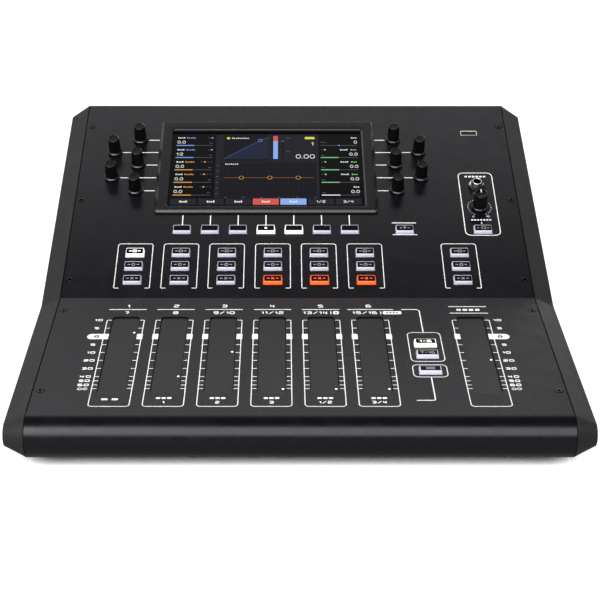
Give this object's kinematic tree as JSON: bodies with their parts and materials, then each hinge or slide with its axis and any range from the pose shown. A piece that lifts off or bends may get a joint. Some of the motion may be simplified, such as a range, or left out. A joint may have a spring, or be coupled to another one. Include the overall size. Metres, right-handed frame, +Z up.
{
  "type": "mixing console",
  "caption": "Sloped desktop digital mixing console: bent black metal top between moulded end cheeks, framed touchscreen, knobs, lit keys, touch fader strips and rear sockets.",
  "frame": {"origin": "on the table under the middle of the console's box", "axes": "+X to the operator's right, +Y to the rear, +Z up"},
  "size_m": [0.372, 0.3692, 0.1342],
  "materials": {
    "black_paint": "satin powder coat",
    "cheek_plastic": "fine moulded grain",
    "bezel_plastic": "smooth satin",
    "knob_plastic": "satin",
    "key_plastic": "translucent, smooth",
    "strip_plastic": "smooth touch film",
    "screen_glass": "glossy cover lens",
    "board_green": "solder mask",
    "socket_plastic": "moulded",
    "chrome": "polished plate",
    "rubber": "moulded"
  },
  "bodies": {
    "chassis": {"top_panel": "black_paint", "left_cheek": "cheek_plastic", "right_cheek": "cheek_plastic", "base_tray": "black_paint", "foot_front_left": "rubber", "foot_front_right": "rubber", "foot_rear_left": "rubber", "foot_rear_right": "rubber", "screen_bezel": "bezel_plastic", "touchscreen": "screen_glass", "control_board": "board_green", "phones_jack": "chrome", "touch_fader_board": "strip_plastic", "rear_jack_board": "socket_plastic", "power_supply": "socket_plastic"},
    "soft_button_1": {"soft_button_1": "key_plastic"},
    "soft_button_2": {"soft_button_2": "key_plastic"},
    "soft_button_3": {"soft_button_3": "key_plastic"},
    "soft_button_4": {"soft_button_4": "key_plastic"},
    "soft_button_5": {"soft_button_5": "key_plastic"},
    "soft_button_6": {"soft_button_6": "key_plastic"},
    "soft_button_7": {"soft_button_7": "key_plastic"},
    "tap_button": {"tap_button": "key_plastic"},
    "clear_button": {"clear_button": "key_plastic"},
    "channel_1_mute_button": {"channel_1_mute_button": "key_plastic"},
    "channel_1_solo_button": {"channel_1_solo_button": "key_plastic"},
    "channel_1_select_button": {"channel_1_select_button": "key_plastic"},
    "channel_2_mute_button": {"channel_2_mute_button": "key_plastic"},
    "channel_2_solo_button": {"channel_2_solo_button": "key_plastic"},
    "channel_2_select_button": {"channel_2_select_button": "key_plastic"},
    "channel_3_mute_button": {"channel_3_mute_button": "key_plastic"},
    "channel_3_solo_button": {"channel_3_solo_button": "key_plastic"},
    "channel_3_select_button": {"channel_3_select_button": "key_plastic"},
    "channel_4_mute_button": {"channel_4_mute_button": "key_plastic"},
    "channel_4_solo_button": {"channel_4_solo_button": "key_plastic"},
    "channel_4_select_button": {"channel_4_select_button": "key_plastic"},
    "channel_5_mute_button": {"channel_5_mute_button": "key_plastic"},
    "channel_5_solo_button": {"channel_5_solo_button": "key_plastic"},
    "channel_5_select_button": {"channel_5_select_button": "key_plastic"},
    "channel_6_mute_button": {"channel_6_mute_button": "key_plastic"},
    "channel_6_solo_button": {"channel_6_solo_button": "key_plastic"},
    "channel_6_select_button": {"channel_6_select_button": "key_plastic"},
    "main_mute_button": {"main_mute_button": "key_plastic"},
    "main_solo_button": {"main_solo_button": "key_plastic"},
    "main_select_button": {"main_select_button": "key_plastic"},
    "bank_button_1": {"bank_button_1": "key_plastic"},
    "bank_button_2": {"bank_button_2": "key_plastic"},
    "bank_button_3": {"bank_button_3": "key_plastic"},
    "encoder_knob_left_1": {"encoder_knob_left_1": "knob_plastic"},
    "encoder_knob_left_2": {"encoder_knob_left_2": "knob_plastic"},
    "encoder_knob_left_3": {"encoder_knob_left_3": "knob_plastic"},
    "encoder_knob_left_4": {"encoder_knob_left_4": "knob_plastic"},
    "encoder_knob_left_5": {"encoder_knob_left_5": "knob_plastic"},
    "encoder_knob_right_1": {"encoder_knob_right_1": "knob_plastic"},
    "encoder_knob_right_2": {"encoder_knob_right_2": "knob_plastic"},
    "encoder_knob_right_3": {"encoder_knob_right_3": "knob_plastic"},
    "encoder_knob_right_4": {"encoder_knob_right_4": "knob_plastic"},
    "encoder_knob_right_5": {"encoder_knob_right_5": "knob_plastic"},
    "monitor_knob": {"monitor_knob": "knob_plastic"},
    "power_rocker": {"power_rocker": "knob_plastic"}
  },
  "joints": [
    {"name": "power_rocker_tilt", "type": "hinge", "parent": "chassis", "child": "power_rocker", "pos_m": [-0.112, 0.18037, 0.038], "axis": [-1, 0, 0], "range_deg": [0, 16]},
    {"name": "monitor_knob_turn", "type": "hinge", "parent": "chassis", "child": "monitor_knob", "pos_m": [0.1413, 0.06581, 0.08565], "axis": [0, -0.3955, 0.9184], "range_deg": [-150, 150]},
    {"name": "bank_button_1_press", "type": "slide", "parent": "chassis", "child": "bank_button_1", "axis": [0, 0.0854, -0.9963], "range_m": [0, 0.001], "stiffness_N_per_m": 700},
    {"name": "bank_button_2_press", "type": "slide", "parent": "chassis", "child": "bank_button_2", "axis": [0, 0.0854, -0.9963], "range_m": [0, 0.001], "stiffness_N_per_m": 700},
    {"name": "bank_button_3_press", "type": "slide", "parent": "chassis", "child": "bank_button_3", "axis": [0, 0.0854, -0.9963], "range_m": [0, 0.001], "stiffness_N_per_m": 700},
    {"name": "tap_button_press", "type": "slide", "parent": "chassis", "child": "tap_button", "axis": [0, 0.3955, -0.9184], "range_m": [0, 0.001], "stiffness_N_per_m": 700},
    {"name": "clear_button_press", "type": "slide", "parent": "chassis", "child": "clear_button", "axis": [0, 0.3955, -0.9184], "range_m": [0, 0.001], "stiffness_N_per_m": 700},
    {"name": "soft_button_1_press", "type": "slide", "parent": "chassis", "child": "soft_button_1", "axis": [0, 0.3955, -0.9184], "range_m": [0, 0.001], "stiffness_N_per_m": 700},
    {"name": "soft_button_2_press", "type": "slide", "parent": "chassis", "child": "soft_button_2", "axis": [0, 0.3955, -0.9184], "range_m": [0, 0.001], "stiffness_N_per_m": 700},
    {"name": "soft_button_3_press", "type": "slide", "parent": "chassis", "child": "soft_button_3", "axis": [0, 0.3955, -0.9184], "range_m": [0, 0.001], "stiffness_N_per_m": 700},
    {"name": "soft_button_4_press", "type": "slide", "parent": "chassis", "child": "soft_button_4", "axis": [0, 0.3955, -0.9184], "range_m": [0, 0.001], "stiffness_N_per_m": 700},
    {"name": "soft_button_5_press", "type": "slide", "parent": "chassis", "child": "soft_button_5", "axis": [0, 0.3955, -0.9184], "range_m": [0, 0.001], "stiffness_N_per_m": 700},
    {"name": "soft_button_6_press", "type": "slide", "parent": "chassis", "child": "soft_button_6", "axis": [0, 0.3955, -0.9184], "range_m": [0, 0.001], "stiffness_N_per_m": 700},
    {"name": "soft_button_7_press", "type": "slide", "parent": "chassis", "child": "soft_button_7", "axis": [0, 0.3955, -0.9184], "range_m": [0, 0.001], "stiffness_N_per_m": 700},
    {"name": "channel_1_mute_button_press", "type": "slide", "parent": "chassis", "child": "channel_1_mute_button", "axis": [0, 0.3955, -0.9184], "range_m": [0, 0.001], "stiffness_N_per_m": 700},
    {"name": "channel_1_solo_button_press", "type": "slide", "parent": "chassis", "child": "channel_1_solo_button", "axis": [0, 0.3955, -0.9184], "range_m": [0, 0.001], "stiffness_N_per_m": 700},
    {"name": "channel_1_select_button_press", "type": "slide", "parent": "chassis", "child": "channel_1_select_button", "axis": [0, 0.3955, -0.9184], "range_m": [0, 0.001], "stiffness_N_per_m": 700},
    {"name": "channel_2_mute_button_press", "type": "slide", "parent": "chassis", "child": "channel_2_mute_button", "axis": [0, 0.3955, -0.9184], "range_m": [0, 0.001], "stiffness_N_per_m": 700},
    {"name": "channel_2_solo_button_press", "type": "slide", "parent": "chassis", "child": "channel_2_solo_button", "axis": [0, 0.3955, -0.9184], "range_m": [0, 0.001], "stiffness_N_per_m": 700},
    {"name": "channel_2_select_button_press", "type": "slide", "parent": "chassis", "child": "channel_2_select_button", "axis": [0, 0.3955, -0.9184], "range_m": [0, 0.001], "stiffness_N_per_m": 700},
    {"name": "channel_3_mute_button_press", "type": "slide", "parent": "chassis", "child": "channel_3_mute_button", "axis": [0, 0.3955, -0.9184], "range_m": [0, 0.001], "stiffness_N_per_m": 700},
    {"name": "channel_3_solo_button_press", "type": "slide", "parent": "chassis", "child": "channel_3_solo_button", "axis": [0, 0.3955, -0.9184], "range_m": [0, 0.001], "stiffness_N_per_m": 700},
    {"name": "channel_3_select_button_press", "type": "slide", "parent": "chassis", "child": "channel_3_select_button", "axis": [0, 0.3955, -0.9184], "range_m": [0, 0.001], "stiffness_N_per_m": 700},
    {"name": "channel_4_mute_button_press", "type": "slide", "parent": "chassis", "child": "channel_4_mute_button", "axis": [0, 0.3955, -0.9184], "range_m": [0, 0.001], "stiffness_N_per_m": 700},
    {"name": "channel_4_solo_button_press", "type": "slide", "parent": "chassis", "child": "channel_4_solo_button", "axis": [0, 0.3955, -0.9184], "range_m": [0, 0.001], "stiffness_N_per_m": 700},
    {"name": "channel_4_select_button_press", "type": "slide", "parent": "chassis", "child": "channel_4_select_button", "axis": [0, 0.3955, -0.9184], "range_m": [0, 0.001], "stiffness_N_per_m": 700},
    {"name": "channel_5_mute_button_press", "type": "slide", "parent": "chassis", "child": "channel_5_mute_button", "axis": [0, 0.3955, -0.9184], "range_m": [0, 0.001], "stiffness_N_per_m": 700},
    {"name": "channel_5_solo_button_press", "type": "slide", "parent": "chassis", "child": "channel_5_solo_button", "axis": [0, 0.3955, -0.9184], "range_m": [0, 0.001], "stiffness_N_per_m": 700},
    {"name": "channel_5_select_button_press", "type": "slide", "parent": "chassis", "child": "channel_5_select_button", "axis": [0, 0.3955, -0.9184], "range_m": [0, 0.001], "stiffness_N_per_m": 700},
    {"name": "channel_6_mute_button_press", "type": "slide", "parent": "chassis", "child": "channel_6_mute_button", "axis": [0, 0.3955, -0.9184], "range_m": [0, 0.001], "stiffness_N_per_m": 700},
    {"name": "channel_6_solo_button_press", "type": "slide", "parent": "chassis", "child": "channel_6_solo_button", "axis": [0, 0.3955, -0.9184], "range_m": [0, 0.001], "stiffness_N_per_m": 700},
    {"name": "channel_6_select_button_press", "type": "slide", "parent": "chassis", "child": "channel_6_select_button", "axis": [0, 0.3955, -0.9184], "range_m": [0, 0.001], "stiffness_N_per_m": 700},
    {"name": "main_mute_button_press", "type": "slide", "parent": "chassis", "child": "main_mute_button", "axis": [0, 0.3955, -0.9184], "range_m": [0, 0.001], "stiffness_N_per_m": 700},
    {"name": "main_solo_button_press", "type": "slide", "parent": "chassis", "child": "main_solo_button", "axis": [0, 0.3955, -0.9184], "range_m": [0, 0.001], "stiffness_N_per_m": 700},
    {"name": "main_select_button_press", "type": "slide", "parent": "chassis", "child": "main_select_button", "axis": [0, 0.3955, -0.9184], "range_m": [0, 0.001], "stiffness_N_per_m": 700},
    {"name": "encoder_knob_left_1_turn", "type": "hinge", "parent": "chassis", "child": "encoder_knob_left_1", "pos_m": [-0.1259, 0.13883, 0.11709], "axis": [0, -0.3955, 0.9184], "continuous": true},
    {"name": "encoder_knob_left_2_turn", "type": "hinge", "parent": "chassis", "child": "encoder_knob_left_2", "pos_m": [-0.1454, 0.12496, 0.11112], "axis": [0, -0.3955, 0.9184], "continuous": true},
    {"name": "encoder_knob_left_3_turn", "type": "hinge", "parent": "chassis", "child": "encoder_knob_left_3", "pos_m": [-0.1259, 0.11109, 0.10515], "axis": [0, -0.3955, 0.9184], "continuous": true},
    {"name": "encoder_knob_left_4_turn", "type": "hinge", "parent": "chassis", "child": "encoder_knob_left_4", "pos_m": [-0.1454, 0.09722, 0.09917], "axis": [0, -0.3955, 0.9184], "continuous": true},
    {"name": "encoder_knob_left_5_turn", "type": "hinge", "parent": "chassis", "child": "encoder_knob_left_5", "pos_m": [-0.1259, 0.08335, 0.0932], "axis": [0, -0.3955, 0.9184], "continuous": true},
    {"name": "encoder_knob_right_1_turn", "type": "hinge", "parent": "chassis", "child": "encoder_knob_right_1", "pos_m": [0.0791, 0.13883, 0.11709], "axis": [0, -0.3955, 0.9184], "continuous": true},
    {"name": "encoder_knob_right_2_turn", "type": "hinge", "parent": "chassis", "child": "encoder_knob_right_2", "pos_m": [0.0986, 0.12496, 0.11112], "axis": [0, -0.3955, 0.9184], "continuous": true},
    {"name": "encoder_knob_right_3_turn", "type": "hinge", "parent": "chassis", "child": "encoder_knob_right_3", "pos_m": [0.0791, 0.11109, 0.10515], "axis": [0, -0.3955, 0.9184], "continuous": true},
    {"name": "encoder_knob_right_4_turn", "type": "hinge", "parent": "chassis", "child": "encoder_knob_right_4", "pos_m": [0.0986, 0.09722, 0.09917], "axis": [0, -0.3955, 0.9184], "continuous": true},
    {"name": "encoder_knob_right_5_turn", "type": "hinge", "parent": "chassis", "child": "encoder_knob_right_5", "pos_m": [0.0791, 0.08335, 0.0932], "axis": [0, -0.3955, 0.9184], "continuous": true}
  ]
}
